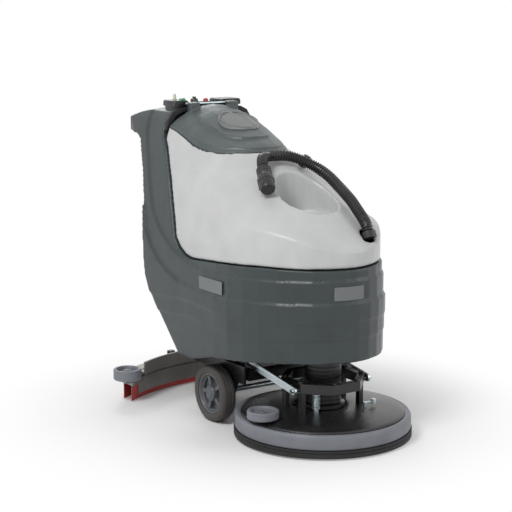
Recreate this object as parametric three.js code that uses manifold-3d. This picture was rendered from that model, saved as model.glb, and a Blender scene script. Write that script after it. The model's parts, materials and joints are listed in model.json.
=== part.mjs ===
// Walk-behind wet/dry floor scrubber: battery machine, one disc brush, curved squeegee.
// Millimetres, +Z up. The front is -Y, the operator stands at +Y, the machine's right side is -X.
// Inside the machine group y = 0 is the wheel axle; the group is shifted so that the origin
// is the middle of the machine's footprint.
import * as THREE from 'three';
import { mergeVertices } from 'three/addons/utils/BufferGeometryUtils.js';
import Module from 'manifold-3d';

const wasm = await Module();
wasm.setup();

// ---------- driving dimensions ----------
const FRONT_Y = -622;            // deck skirt, foremost point
const REAR_Y = 667;              // handle, rearmost point
const GAP = 0.4;                 // play left between touching pieces

const BODY = { half: 273, frontY: -504, noseY: -100 };    // straight sides behind noseY, an elliptical nose ahead
const LEAN = { fromZ: 620, toZ: 960, inward: 84 };         // the sides lean in towards the top
const PLAN_STEPS = 9;
const TANK_WALL = 8;
const HOOD_WALL = 5;
const HOOD_INSET = 6;            // recovery tank side against the first band of the lower tank

const WHEEL = { r: 97.6, rimR: 71, width: 53, x: 217.5 };
const AXLE_R = 10;
const CASTER = { y: 250, r: 38, width: 30, trail: 28, topZ: 112 };

const DECK = { y: -326, coverR: 272, bumperR: 293, skirtR: 296, skirtZ: 6, bumperZ: 31, topZ: 81 };
const BRUSH = { blockR: 252, boreR: 60, holdZ: 43, topZ: 62, innerR: 150 };
const MOTOR = { r: 61, topZ: 300, pocketR: 88, pocketZ: 392 };
const ARM = { x: 150, pivotY: -90, pivotZ: 222, pinY: -371, pinZ: 179, width: 26, thick: 8, boltR: 6 };
const DECK_ROLLER = { x: -248, y: -338, r: 52, z0: 96, z1: 124 };

const SQUEEGEE = { half: 347, midY: 512, endY: 415, frontBack: 52, bodyZ: 56, bodyTopZ: 104, boxTopZ: 141, wallHalf: 296 };
const SQUEEGEE_R = (SQUEEGEE.half ** 2 + (SQUEEGEE.midY - SQUEEGEE.endY) ** 2)
  / (2 * (SQUEEGEE.midY - SQUEEGEE.endY));
const SQUEEGEE_CY = SQUEEGEE.midY - SQUEEGEE_R;            // centre of all the squeegee's arcs
const END_ROLLER = { x: 356, y: 368, r: 50, z0: 84, z1: 122 };
const SWIVEL_Y = 405;
const LIFT = { y: 318, z: 168 };                           // squeegee lift hinge

const CONSOLE = { half: 140, y0: 382, y1: 463, z0: 1046.5, lowZ: 1053, topZ: 1068 };
const LID = { flange: 2, dome: 8, pod: 15, badge: 19, under: -18, hingeY: 362, hingeZ: 1057 };
const OUTLET = { r: 24, top: [91, -440.5, 686.6], bottom: [91, -450.3, 667] };
const SEAL = { y0: 366, y1: 380, depth: 13 };
const RECESS = { y: -230, a: 98, b: 114, floorZ: 716 };

// ---------- small tools ----------
function toSolid(geometry) {
  const bare = geometry.clone();
  bare.deleteAttribute('normal');
  bare.deleteAttribute('uv');
  const merged = mergeVertices(bare, 1e-4);
  return new wasm.Manifold(new wasm.Mesh({
    numProp: 3,
    vertProperties: Float32Array.from(merged.attributes.position.array),
    triVerts: Uint32Array.from(merged.index.array),
  }));
}

function toGeometry(solid) {
  const mesh = solid.getMesh();
  const geometry = new THREE.BufferGeometry();
  geometry.setAttribute('position', new THREE.BufferAttribute(Float32Array.from(mesh.vertProperties), 3));
  geometry.setIndex(new THREE.BufferAttribute(Uint32Array.from(mesh.triVerts), 1));
  geometry.computeVertexNormals();
  return geometry;
}

const join = (first, ...rest) => rest.reduce((all, g) => all.add(toSolid(g)), toSolid(first));
const cut = (body, ...tools) => tools.reduce((all, g) => all.subtract(toSolid(g)), body);
const largest = (solid) => solid.simplify(0.1).decompose().sort((a, b) => b.volume() - a.volume())[0];
const common = (first, ...rest) => rest.reduce((all, g) => all.intersect(toSolid(g)), toSolid(first));

function box(x0, x1, y0, y1, z0, z1) {
  const g = new THREE.BoxGeometry(x1 - x0, y1 - y0, z1 - z0);
  g.translate((x0 + x1) / 2, (y0 + y1) / 2, (z0 + z1) / 2);
  return g;
}

function polygon(points) {
  return new THREE.Shape(points.map(([a, b]) => new THREE.Vector2(a, b)));
}

function extrude(shape, depth, curveSegments = 8) {
  return new THREE.ExtrudeGeometry(shape, { depth, bevelEnabled: false, curveSegments });
}

function alongX(shapeYZ, x0, x1, segments) {
  const g = extrude(shapeYZ, x1 - x0, segments);
  g.applyMatrix4(new THREE.Matrix4().makeBasis(
    new THREE.Vector3(0, 1, 0), new THREE.Vector3(0, 0, 1), new THREE.Vector3(1, 0, 0)));
  g.translate(x0, 0, 0);
  return g;
}

function alongY(shapeXZ, y0, y1, segments) {
  const g = extrude(shapeXZ, y1 - y0, segments);
  g.rotateX(Math.PI / 2);
  g.translate(0, y1, 0);
  return g;
}

function alongZ(shapeXY, z0, z1, segments) {
  const g = extrude(shapeXY, z1 - z0, segments);
  g.translate(0, 0, z0);
  return g;
}

function rod(radius, from, to, sides = 16) {
  const a = new THREE.Vector3(...from);
  const b = new THREE.Vector3(...to);
  const g = new THREE.CylinderGeometry(radius, radius, a.distanceTo(b), sides);
  const turn = new THREE.Quaternion().setFromUnitVectors(
    new THREE.Vector3(0, 1, 0), b.clone().sub(a).normalize());
  g.applyQuaternion(turn);
  g.translate(...a.add(b).multiplyScalar(0.5).toArray());
  return g;
}

// Turned about Z, [radius, height] pairs; a profile that does not touch the axis is closed on itself.
function turned(profile, sides = 32) {
  const points = profile.map(([r, z]) => new THREE.Vector2(r, z));
  if (THREE.ShapeUtils.area(points) < 0) points.reverse();   // the profile runs anticlockwise
  if (points[0].x > 0) points.push(points[0].clone());
  const g = new THREE.LatheGeometry(points, sides);
  g.rotateX(Math.PI / 2);
  return g;
}

function sweep(points, radius, steps, sides = 10) {
  const path = new THREE.CatmullRomCurve3(points.map((p) => new THREE.Vector3(...p)));
  const section = new THREE.Shape();
  section.absarc(0, 0, radius, 0, 2 * Math.PI);
  return new THREE.ExtrudeGeometry(section,
    { steps, extrudePath: path, bevelEnabled: false, curveSegments: sides });
}

function mirrored(geometry) {
  const g = geometry.clone();
  g.scale(-1, 1, 1);
  const index = g.index ? g.index.array : null;
  const order = index ?? Array.from({ length: g.attributes.position.count }, (_, i) => i);
  const flipped = Array.from(order);
  for (let i = 0; i < flipped.length; i += 3) {
    [flipped[i], flipped[i + 1]] = [flipped[i + 1], flipped[i]];
  }
  g.setIndex(flipped);
  return g;
}

const machine = new THREE.Group();
machine.position.y = -(FRONT_Y + REAR_Y) / 2;

const FINISH = {
  slate: [0x3d4a4d, 0.5, 0], silver: [0xc9cccd, 0.35, 0], lidGrey: [0x6d7678, 0.4, 0],
  black: [0x1d1e20, 0.55, 0], rubber: [0x232323, 0.85, 0], bumper: [0x8d929c, 0.55, 0],
  tyre: [0x77726b, 0.85, 0], hub: [0x6f7379, 0.5, 0], red: [0xb0393a, 0.5, 0],
  zinc: [0xb8c6cc, 0.35, 0.9], plate: [0x8b8883, 0.5, 0.3], cream: [0xe4e0d2, 0.4, 0],
  green: [0x2f8f5a, 0.35, 0], badge: [0x8a9092, 0.4, 0.5], bristle: [0x2b2d30, 0.9, 0],
};

function add(name, source, finish, parent = machine) {
  const [color, roughness, metalness] = FINISH[finish];
  const geometry = source.isBufferGeometry ? source : toGeometry(source);
  const mesh = new THREE.Mesh(geometry, new THREE.MeshStandardMaterial({ color, roughness, metalness }));
  mesh.name = name;
  parent.add(mesh);
  return mesh;
}

// ---------- body outlines ----------
// Plan of the body, grown outwards by `grow`: straight sides that close into an elliptical nose.
function bodyPlan(grow) {
  const half = BODY.half + grow;
  const shape = new THREE.Shape();
  shape.moveTo(half, 720);
  shape.lineTo(-half, 720);
  shape.lineTo(-half, BODY.noseY);
  shape.absellipse(0, BODY.noseY, half, BODY.noseY - BODY.frontY + grow, Math.PI, 2 * Math.PI);
  return shape;
}

// Front view of the body: upright below, leaning in above, with a crowned top.
function bodyFront(grow) {
  const steps = 4;
  const side = [[BODY.half + grow, 0], [BODY.half + grow, LEAN.fromZ - 60]];
  for (let i = 0; i <= steps; i += 1) {
    const t = i / steps;
    const ease = 0.25 * t * t + 0.75 * t;
    side.push([BODY.half + grow - LEAN.inward * ease, LEAN.fromZ + t * (LEAN.toZ - LEAN.fromZ)]);
  }
  side.push([173 + grow, 1004], [158 + grow, 1028], [132 + grow, 1041], [70, 1046]);
  return polygon([...side, ...side.map(([x, z]) => [-x, z]).reverse()]);
}

const SEAM = [[-640, 584], [-300, 581], [-124, 570], [0, 561], [66, 557], [105, 563], [145, 585], [171, 615],
  [208, 691], [273, 805], [338, 902], [380, 950], [386, 985], [377, 1080]];
const STEPS = [
  [[-640, 554], [-300, 539], [-123, 529], [2, 536], [99, 550], [165, 574], [232, 611], [283, 647],
    [335, 692], [377, 759], [433, 858], [490, 957], [516, 1080], [720, 1090]],
  [[-640, 483], [-300, 466], [-123, 458], [3, 459], [133, 471], [201, 492], [269, 527], [323, 576],
    [358, 636], [392, 700], [720, 760]],
  [[-640, 425], [-358, 407], [-243, 402], [-122, 407], [3, 414], [134, 415], [272, 403], [720, 380]],
  [[-640, 370], [-414, 356], [-300, 343], [-183, 347], [-60, 357], [69, 360], [169, 354], [720, 320]],
  [[-640, 190], [720, 190]],
];
const BAND_GROW = [0, 6, 13, 10, 7];
const WIDEST_BAND = 2;
const BAND_LAP = 3;

// Side view of the lower tank, with the column and the handle behind.
const REAR_EDGE = [[-640, 286], [-420, 280], [-80, 247], [-20, 232], [60, 212], [139, 212], [165, 238],
  [273, 343], [329, 406], [356, 457], [365, 502], [372, 615], [408, 720], [457, 822], [524, 928],
  [560, 944], [631, 950], [660, 962], [667, 977], [655, 993], [622, 1005], [576, 1020], [470, 1041],
  [410, 1046]];

function lowerTank() {
  const profile = alongX(polygon([...REAR_EDGE, ...[...SEAM].reverse()]), -320, 320);
  let outer = null;
  const shifted = (curve, dz) => curve.map(([y, z]) => [y, z + dz]);
  STEPS.forEach((lower, i) => {
    const upper = i === 0 ? [[-640, 1100], [720, 1100]] : STEPS[i - 1];
    const down = i < WIDEST_BAND ? -BAND_LAP : 0;            // narrow bands run a little into wide ones
    const up = i > WIDEST_BAND ? BAND_LAP : 0;
    const strip = alongX(polygon([...shifted(lower, down), ...shifted(upper, up).reverse()]), -320, 320);
    const band = common(strip, alongZ(bodyPlan(BAND_GROW[i]), 150, 1100, PLAN_STEPS),
      alongY(bodyFront(BAND_GROW[i]), -700, 720));
    outer = outer ? outer.add(band) : band;
  });
  outer = outer.intersect(toSolid(profile));
  const handlePlan = new THREE.Shape();
  handlePlan.moveTo(-320, -700);
  handlePlan.lineTo(320, -700);
  handlePlan.lineTo(320, 540);
  handlePlan.lineTo(196, 590);
  handlePlan.absarc(126, REAR_Y - 62, 62, 0, Math.PI / 2, false);
  handlePlan.absarc(-126, REAR_Y - 62, 62, Math.PI / 2, Math.PI, false);
  handlePlan.lineTo(-196, 590);
  handlePlan.lineTo(-320, 540);
  outer = outer.intersect(toSolid(alongZ(handlePlan, 100, 1200, 4)));

  const waterProfile = alongX(polygon([[-640, 295], [-420, 289], [-76, 256], [-15, 241], [64, 221], [134, 221],
    [158, 243], [266, 348], [321, 410], [348, 459], [357, 503], [364, 616], [400, 722], [449, 825],
    [516, 933], [540, 952], [540, 1016], [470, 1030], [388, 1034], [395, 985], [390, 946], [346, 898],
    [281, 801], [216, 687], [178, 611], [150, 577], [108, 554], [66, 548], [0, 552], [-124, 561],
    [-300, 572], [-640, 575]]), -320, 320);
  const well = box(-180, 180, -196, 148, 272, 700);
  const wellWall = box(-180 - TANK_WALL, 180 + TANK_WALL, -196 - TANK_WALL, 148 + TANK_WALL, 272 - TANK_WALL, 700);
  const pocket = rod(MOTOR.pocketR, [0, DECK.y, 180], [0, DECK.y, MOTOR.pocketZ], 24);
  const pocketWall = rod(MOTOR.pocketR + TANK_WALL, [0, DECK.y, 180], [0, DECK.y, MOTOR.pocketZ + TANK_WALL], 24);
  const water = cut(common(waterProfile, alongZ(bodyPlan(-TANK_WALL), 150, 1100, PLAN_STEPS),
    alongY(bodyFront(-TANK_WALL), -700, 720)), wellWall, pocketWall);
  const filler = rod(26, [225, -90, 520], [225, -90, 620], 16);
  const fingers = alongZ(polygon([[-112, 574], [112, 574], [126, 588], [126, 614], [112, 628], [-112, 628],
    [-126, 614], [-126, 588]]), 900, 1100);
  return largest(cut(outer.subtract(water), well, pocket, filler, fingers));
}

// ---------- recovery tank and lid ----------
const CROWN_Y = [-504, -485, -455, -420, -379, -326, -227, -160, -56, 0, 60, 113, 170, 230, 291, 345, 420];
const CROWN_Z = [634, 648, 670, 696, 724, 756, 802, 838, 893, 921, 945, 963, 985, 1012, 1034, 1048, 1056];

function crownAt(y) {
  let i = 0;
  while (i < CROWN_Y.length - 2 && y > CROWN_Y[i + 1]) i += 1;
  const t = (y - CROWN_Y[i]) / (CROWN_Y[i + 1] - CROWN_Y[i]);
  return CROWN_Z[i] + t * (CROWN_Z[i + 1] - CROWN_Z[i]);
}

// Height of the hood: a crown line along the middle that falls away with the square of x.
function hoodZ(x, y) {
  const fall = 0.0022 - 0.0014 * THREE.MathUtils.clamp(-y / 450, 0, 1);
  return crownAt(y) - fall * x * x;
}

// A solid block under the hood surface, `lift` above it, over an x, y range.
function underHood(halfX, y0, y1, bottomZ, lift, nx = 12, ny = 16) {
  const g = new THREE.BoxGeometry(2 * halfX, y1 - y0, 1, nx, ny, 1);
  g.translate(0, (y0 + y1) / 2, 0);
  const p = g.attributes.position;
  for (let i = 0; i < p.count; i += 1) {
    const top = p.getZ(i) > 0;
    p.setZ(i, top ? hoodZ(p.getX(i), p.getY(i)) + lift : bottomZ);
  }
  return g;
}

// Underside and back of the recovery tank: the seam line, moved inwards.
function hoodBack(inset) {
  return SEAM.map(([y, z]) => {
    const across = THREE.MathUtils.clamp((y - 66) / 80, 0, 1);
    return [y - (3 + inset) * across, z + (3 + inset) * (z < 600 ? 1 : 0.35)];
  });
}

function hoodShape() {
  return common(alongX(polygon([...hoodBack(0), [-640, 1080]]), -320, 320),
    alongZ(bodyPlan(-HOOD_INSET), 500, 1100, PLAN_STEPS), alongY(bodyFront(-HOOD_INSET), -700, 720),
    underHood(300, -560, 430, 520, 0));
}

function ellipse(a, b, cy) {
  const shape = new THREE.Shape();
  shape.absellipse(0, cy, a, b, 0, 2 * Math.PI);
  return shape;
}

// Plan of the lid: straight sides, a round nose at the front.
function lidPlan(grow) {
  const shape = new THREE.Shape();
  shape.moveTo(-174 - grow, 362 + grow);
  shape.lineTo(-174 - grow, 225);
  shape.splineThru([[-167, 168], [-138, 85], [-72, 12], [0, -8], [72, 12], [138, 85], [167, 168], [174, 225]]
    .map(([x, y]) => new THREE.Vector2(x * (1 + grow / 174), y - (y < 100 ? grow : 0))));
  shape.lineTo(174 + grow, 362 + grow);
  return shape;
}

function recoveryTank() {
  const cup = alongZ(ellipse(RECESS.a, RECESS.b, RECESS.y), RECESS.floorZ, 1000, 10);
  const cupWall = alongZ(ellipse(RECESS.a + HOOD_WALL, RECESS.b + HOOD_WALL, RECESS.y),
    RECESS.floorZ - HOOD_WALL, 1000, 10);
  const insidePlan = [[255, 420], [255, -100], [236, -240], [180, -366], [108, -445], [44, -477]];
  const hollow = common(alongZ(polygon([...insidePlan, ...insidePlan.map(([x, y]) => [-x, y]).reverse()].reverse()),
    500, 1100), alongX(polygon([...hoodBack(HOOD_WALL), [-640, 1080]]), -320, 320),
  alongY(bodyFront(-HOOD_INSET - HOOD_WALL), -700, 720), underHood(300, -560, 430, 520, -HOOD_WALL));
  const backY = SEAL.y0 - 1;                               // the tank stays in front of the column seal
  const inside = cut(hollow, cupWall, box(-320, 320, backY - HOOD_WALL, 440, 500, 1150));
  const mouth = alongZ(lidPlan(-34), 700, 1100, 3);
  const lidSeat = common(alongZ(lidPlan(GAP), 700, 1150, 4), box(-250, 250, -60, 400, 700, 1150))
    .subtract(toSolid(lidSeatSurface(LID.under - GAP)));
  const body = hoodShape().subtract(inside).subtract(lidSeat);
  const port = rod(OUTLET.r + 2 * GAP, [91, -433, 699], [91, -455, 658], 16);
  return largest(cut(body, cup, mouth, port, box(-250, 250, backY, 440, 880, 1150)));
}

function podPlan() {
  const shape = new THREE.Shape();
  shape.moveTo(-95, 276);
  shape.splineThru([[-120, 245], [-98, 180], [-96, 140], [-60, 80], [0, 62], [60, 80], [96, 140], [98, 180],
    [120, 245], [95, 276]].map(([x, y]) => new THREE.Vector2(x, y)));
  return shape;
}

// Everything below the seat that the lid rests on, `lift` above the hood surface.
const lidSeatSurface = (lift) => underHood(240, -80, 420, 600, lift, 12, 12);
const podSurface = (lift) => underHood(150, 40, 300, 700, lift, 6, 5);

function lid() {
  const plan = alongZ(lidPlan(0), 800, 1100, 4);
  const flange = common(plan, underHood(200, -20, 372, 700, LID.flange, 8, 8));
  const dome = common(alongZ(lidPlan(-9), 800, 1100, 4), underHood(200, -20, 372, 700, LID.dome, 8, 8));
  const pod = common(alongZ(podPlan(), 800, 1100, 2), podSurface(LID.pod));
  const knuckles = [-80, 80].flatMap((x) => [rod(7, [x - 20, LID.hingeY, LID.hingeZ], [x + 20, LID.hingeY, LID.hingeZ], 12),
    box(x - 20, x + 20, 336, LID.hingeY, 1024, LID.hingeZ + 5)]);
  const below = lidSeatSurface(LID.under);
  return cut(knuckles.reduce((all, g) => all.add(toSolid(g)), flange.add(dome).add(pod)), below,
    rod(4 + GAP, [-110, LID.hingeY, LID.hingeZ], [110, LID.hingeY, LID.hingeZ], 12));
}

// ---------- chassis ----------
function chassis() {
  const side = polygon([[-136, 150], [-92, 150], [-60, 84], [-34, 66], [34, 66], [60, 84], [88, 150],
    [120, 190], [120, 211.5], [-136, 211.5]]);
  const bracket = cut(toSolid(alongX(side, -187, -179)), rod(AXLE_R + GAP, [-200, 0, WHEEL.r], [-160, 0, WHEEL.r]));
  const armLug = cut(toSolid(alongX(polygon([[-110, 196], [-68, 196], [-70, 234], [-106, 234]]), -166, -158)),
    rod(ARM.boltR + GAP, [-170, ARM.pivotY, ARM.pivotZ], [-150, ARM.pivotY, ARM.pivotZ], 12));
  const bracketG = toGeometry(bracket);
  const lugG = toGeometry(armLug);
  const parts = [
    bracketG, mirrored(bracketG), lugG, mirrored(lugG),
    box(-166, -142, -136, 330, 160, 196), box(142, 166, -136, 330, 160, 196),
    box(-142, 142, 296, 326, 160, 196), box(-142, 142, -136, -116, 160, 196),
    box(-46, 46, 200, 300, 152, 196), box(-36, 36, CASTER.y - 34, CASTER.y + 34, CASTER.topZ + 8 + GAP, 152),
    box(-142, -46, 230, 270, 168, 196), box(46, 142, 230, 270, 168, 196),
    box(-50, -42, 322, 352, 152, 196), box(42, 50, 322, 352, 152, 196),
  ];
  const frame = join(box(-187, 187, -60, 160, 196, 211.5), ...parts);
  return cut(frame, rod(8 + GAP, [-60, LIFT.y + 20, LIFT.z], [60, LIFT.y + 20, LIFT.z], 12),
    rod(9 + GAP, [0, CASTER.y, 90], [0, CASTER.y, 160], 12));
}

add('chassis_frame', chassis(), 'black');
add('wheel_axle', rod(AXLE_R, [-236, 0, WHEEL.r], [236, 0, WHEEL.r]), 'zinc');
add('solution_tank', lowerTank(), 'slate');
add('battery_right', box(-176, -3, -190, 142, 273, 500), 'black');
add('battery_left', box(3, 176, -190, 142, 273, 500), 'black');

// ---------- wheels ----------
function wheel(side, name) {
  const x = side * WHEEL.x;
  const h = WHEEL.width / 2;
  const group = new THREE.Group();
  group.position.set(x, 0, WHEEL.r);
  group.rotation.y = side * Math.PI / 2;                   // local +Z points outwards
  machine.add(group);
  add(`wheel_tyre_${name}`, turned([[WHEEL.rimR, -h], [WHEEL.r - 6, -h], [WHEEL.r, -h + 6], [WHEEL.r, h - 6],
    [WHEEL.r - 6, h], [WHEEL.rimR + 4, h], [WHEEL.rimR, h - 3]], 32), 'tyre', group);
  const disc = turned([[AXLE_R + GAP, -h + 2], [30, -h + 2], [30, -8], [58, -8], [58, -h + 2],
    [WHEEL.rimR - GAP, -h + 2], [WHEEL.rimR - GAP, h - 6], [62, h - 6], [58, 4], [30, 4], [26, h - 4],
    [AXLE_R + GAP, h - 4]], 24);
  const holes = Array.from({ length: 5 }, (_, i) => {
    const a = (i + 0.5) * 2 * Math.PI / 5;
    return rod(10.5, [44 * Math.cos(a), 44 * Math.sin(a), -30], [44 * Math.cos(a), 44 * Math.sin(a), 30], 8);
  });
  add(`wheel_hub_${name}`, cut(toSolid(disc), ...holes), 'hub', group);
}
wheel(-1, 'right');
wheel(1, 'left');

// ---------- rear caster ----------
const casterWheelY = CASTER.y + CASTER.trail;
const forkSide = polygon([[CASTER.y - 22, 104], [CASTER.y - 22, CASTER.topZ], [CASTER.y + 22, CASTER.topZ],
  [CASTER.y + 30, 96], [casterWheelY + 11, 34], [casterWheelY - 8, 28], [casterWheelY - 13, 38]]);
const forkPin = rod(6, [-26, casterWheelY, CASTER.r], [26, casterWheelY, CASTER.r], 12);
add('caster_fork', join(alongX(forkSide, -23, -19), alongX(forkSide, 19, 23),
  box(-23, 23, CASTER.y - 22, CASTER.y + 22, CASTER.topZ - 4, CASTER.topZ),
  turned([[0, CASTER.topZ - 1], [20, CASTER.topZ - 1], [20, CASTER.topZ + 7.6], [9, CASTER.topZ + 8],
    [9, CASTER.topZ + 40], [0, CASTER.topZ + 40]], 16).translate(0, CASTER.y, 0), forkPin), 'zinc');
const casterWheel = add('caster_wheel', turned([[6 + GAP, -14], [14, -15], [CASTER.r - 4, -15], [CASTER.r, -9],
  [CASTER.r, 9], [CASTER.r - 4, 15], [14, 15], [6 + GAP, 14]], 32), 'tyre');
casterWheel.rotation.y = Math.PI / 2;
casterWheel.position.set(0, casterWheelY, CASTER.r);

// ---------- deck lift arms ----------
function liftArm(side, name) {
  const x = side * ARM.x;
  const dy = ARM.pivotY - ARM.pinY;
  const dz = ARM.pivotZ - ARM.pinZ;
  const length = Math.hypot(dy, dz);
  const w = ARM.width / 2;
  const outline = new THREE.Shape();
  outline.moveTo(0, -w);
  outline.absarc(length, 0, w, -Math.PI / 2, Math.PI / 2, false);
  outline.absarc(0, 0, w, Math.PI / 2, 1.5 * Math.PI, false);
  const bar = alongX(outline, -ARM.thick / 2, ARM.thick / 2, 6);
  bar.rotateX(Math.atan2(dz, dy));
  bar.translate(x, ARM.pinY, ARM.pinZ);
  const inner = side * (ARM.x + 18);
  const pivot = rod(ARM.boltR, [x, ARM.pivotY, ARM.pivotZ], [inner, ARM.pivotY, ARM.pivotZ], 12);
  const head = rod(11, [x - side * 4, ARM.pivotY, ARM.pivotZ], [x - side * 10, ARM.pivotY, ARM.pivotZ], 6);
  const hole = rod(ARM.boltR + GAP, [x - 20, ARM.pinY, ARM.pinZ], [x + 20, ARM.pinY, ARM.pinZ], 12);
  add(`deck_arm_${name}`, cut(join(bar, pivot, head), hole), 'zinc');
}
liftArm(-1, 'right');
liftArm(1, 'left');

// ---------- brush deck ----------
const deck = new THREE.Group();
deck.position.set(0, DECK.y, 0);
machine.add(deck);
const coverZ = DECK.topZ + 3;
const cover = turned([[0, 96], [70, 96], [78, 100], [150, 98], [250, coverZ + 4], [DECK.coverR, coverZ],
  [DECK.coverR, coverZ - 4], [252, coverZ - 1], [150, 93], [66, 94], [66, 91], [0, 91]], 36);
add('deck_cover', cut(join(cover, turned([[DECK.coverR - 5, 62], [DECK.coverR, 62], [DECK.coverR, coverZ - 1],
  [DECK.coverR - 5, coverZ - 1]], 36)), rod(13, [0, 0, 60], [0, 0, 120], 16)), 'black', deck);
add('deck_bumper', turned([[DECK.coverR + GAP, DECK.bumperZ], [DECK.bumperR - 3, DECK.bumperZ],
  [DECK.bumperR, DECK.bumperZ + 4], [DECK.bumperR, DECK.topZ - 9], [DECK.bumperR - 3, DECK.topZ - 3],
  [DECK.bumperR - 8, DECK.topZ], [DECK.coverR + GAP, DECK.topZ]], 36), 'bumper', deck);
add('deck_skirt', turned([[DECK.coverR + 6, DECK.skirtZ], [DECK.skirtR, DECK.skirtZ],
  [DECK.skirtR, DECK.bumperZ - GAP], [DECK.coverR + 6, DECK.bumperZ - GAP]], 36), 'rubber', deck);
const octagon = (r) => polygon(Array.from({ length: 8 }, (_, i) => {
  const a = (i + 0.5) * Math.PI / 4;
  return [r * Math.cos(a), r * Math.sin(a)];
}));
const pinY = ARM.pinY - DECK.y;
const ringOuter = alongZ(octagon(142), 168, 200);
const ringInner = alongZ(octagon(118), 160, 210);
const bracketLegs = [-1, 1].flatMap((s) => [-1, 1].map((t) =>
  box(s * 118 - 8, s * 118 + 8, t * 46 - 10, t * 46 + 10, 99, 172)));
const bracketPins = [-1, 1].map((s) => rod(ARM.boltR, [s * 120, pinY, ARM.pinZ], [s * 163, pinY, ARM.pinZ], 12));
add('motor_bracket', join(toGeometry(cut(toSolid(ringOuter), ringInner)),
  ...bracketLegs, ...bracketPins), 'black', deck);
add('brush_motor', turned([[0, 100.6], [MOTOR.r + 12, 100.6], [MOTOR.r + 12, 112], [MOTOR.r, 116],
  [MOTOR.r, MOTOR.topZ - 8], [MOTOR.r - 8, MOTOR.topZ], [0, MOTOR.topZ]], 28), 'black', deck);
add('brush_drive_shaft', turned([[0, 64], [24, 64], [24, 72], [11, 76], [11, 100], [0, 100]], 16), 'zinc', deck);
const adjusterX = -76;
add('deck_adjuster', turned([[0, 100], [9, 100], [9, 112], [14, 114], [14, 158], [8, 160], [8, 174], [0, 174]], 14)
  .translate(adjusterX, -66, 0), 'zinc', deck);
add('brush_release_latch', join(rod(7, [96, -104, 99], [96, -104, 116], 12),
  box(90, 132, -110, -98, 111, 117), rod(9, [132, -104, 106], [132, -104, 122], 12)), 'zinc', deck);
const rollerY = DECK_ROLLER.y - DECK.y;
add('deck_roller_pin', join(rod(7, [DECK_ROLLER.x, rollerY, 91], [DECK_ROLLER.x, rollerY, 119], 12),
  rod(15, [DECK_ROLLER.x, rollerY, 90.4], [DECK_ROLLER.x, rollerY, 95], 12)), 'zinc', deck);
const rollerProfile = (r, z0, z1) => [[7.6, z0 + 6], [r - 12, z0 + 6], [r - 12, z0], [r, z0], [r, z1],
  [r - 12, z1], [r - 14, z1 - 14], [14, z1 - 14], [14, z1 - 5], [7.6, z1 - 5]];
add('deck_roller', turned(rollerProfile(DECK_ROLLER.r, DECK_ROLLER.z0, DECK_ROLLER.z1), 24)
  .translate(DECK_ROLLER.x, rollerY, 0), 'bumper', deck);
add('brush_block', turned([[BRUSH.boreR, BRUSH.holdZ], [BRUSH.blockR, BRUSH.holdZ], [BRUSH.blockR, 56],
  [BRUSH.blockR - 4, 60], [110, 60], [26, 76], [26, 66], [BRUSH.boreR, 58]], 28), 'hub', deck);
add('brush_bristles', turned([[BRUSH.innerR - 10, 0], [BRUSH.blockR - 6, 0], [BRUSH.blockR - 6, BRUSH.holdZ - GAP],
  [BRUSH.innerR - 10, BRUSH.holdZ - GAP]], 28), 'bristle', deck);

// ---------- recovery tank ----------
add('recovery_tank', recoveryTank(), 'silver');
const HOSE_R = 19;
const HOSE_ROUTE = [[-112, -138, 876], [-106, -124, 890], [-86, -98, 904], [-56, -84, 908], [-21, -84, 908], [15, -90, 906],
  [48, -106, 896], [78, -130, 880], [100, -160, 862], [112, -200, 840], [116, -244, 814], [112, -296, 789],
  [106, -335, 771], [99, -376, 747], [95, -410, 724], [92, -431, 706], [91, -440, 687.5]];
add('drain_hose', sweep(HOSE_ROUTE, HOSE_R, 34, 8), 'black');
const hoseStart = new THREE.Vector3(...HOSE_ROUTE[0]);
const capAxis = new THREE.Vector3(-31, -70, -52).normalize();
const alongCap = (distance) => hoseStart.clone().addScaledVector(capAxis, distance).toArray();
add('drain_hose_cap', join(rod(26, alongCap(6), alongCap(108), 20), rod(29, alongCap(62), alongCap(70), 20)), 'black');
add('drain_hose_outlet', rod(OUTLET.r, OUTLET.top, OUTLET.bottom, 18), 'black');
const hookY = HOSE_ROUTE[6][1];
add('hose_clip', cut(join(rod(HOSE_R + 4, [77, hookY + 8, 888], [83, hookY - 8, 880], 18)),
  sweep(HOSE_ROUTE, HOSE_R + 2 * GAP, 34, 8)), 'black');

// ---------- lid ----------
add('lid', lid(), 'lidGrey');
add('lid_badge', common(alongZ(ellipse(76, 66, 180), 900, 1100, 10), podSurface(LID.badge))
  .subtract(toSolid(podSurface(LID.pod + GAP))), 'badge');
const motorY = 200;
add('vacuum_motor', turned([[0, 846], [62, 846], [62, 926], [40, 932], [30, 936], [30, 964], [0, 964]], 20)
  .translate(0, motorY, 0), 'hub');
add('lid_hinge_pin', rod(4, [-106, LID.hingeY, LID.hingeZ], [106, LID.hingeY, LID.hingeZ], 12), 'zinc');

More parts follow.
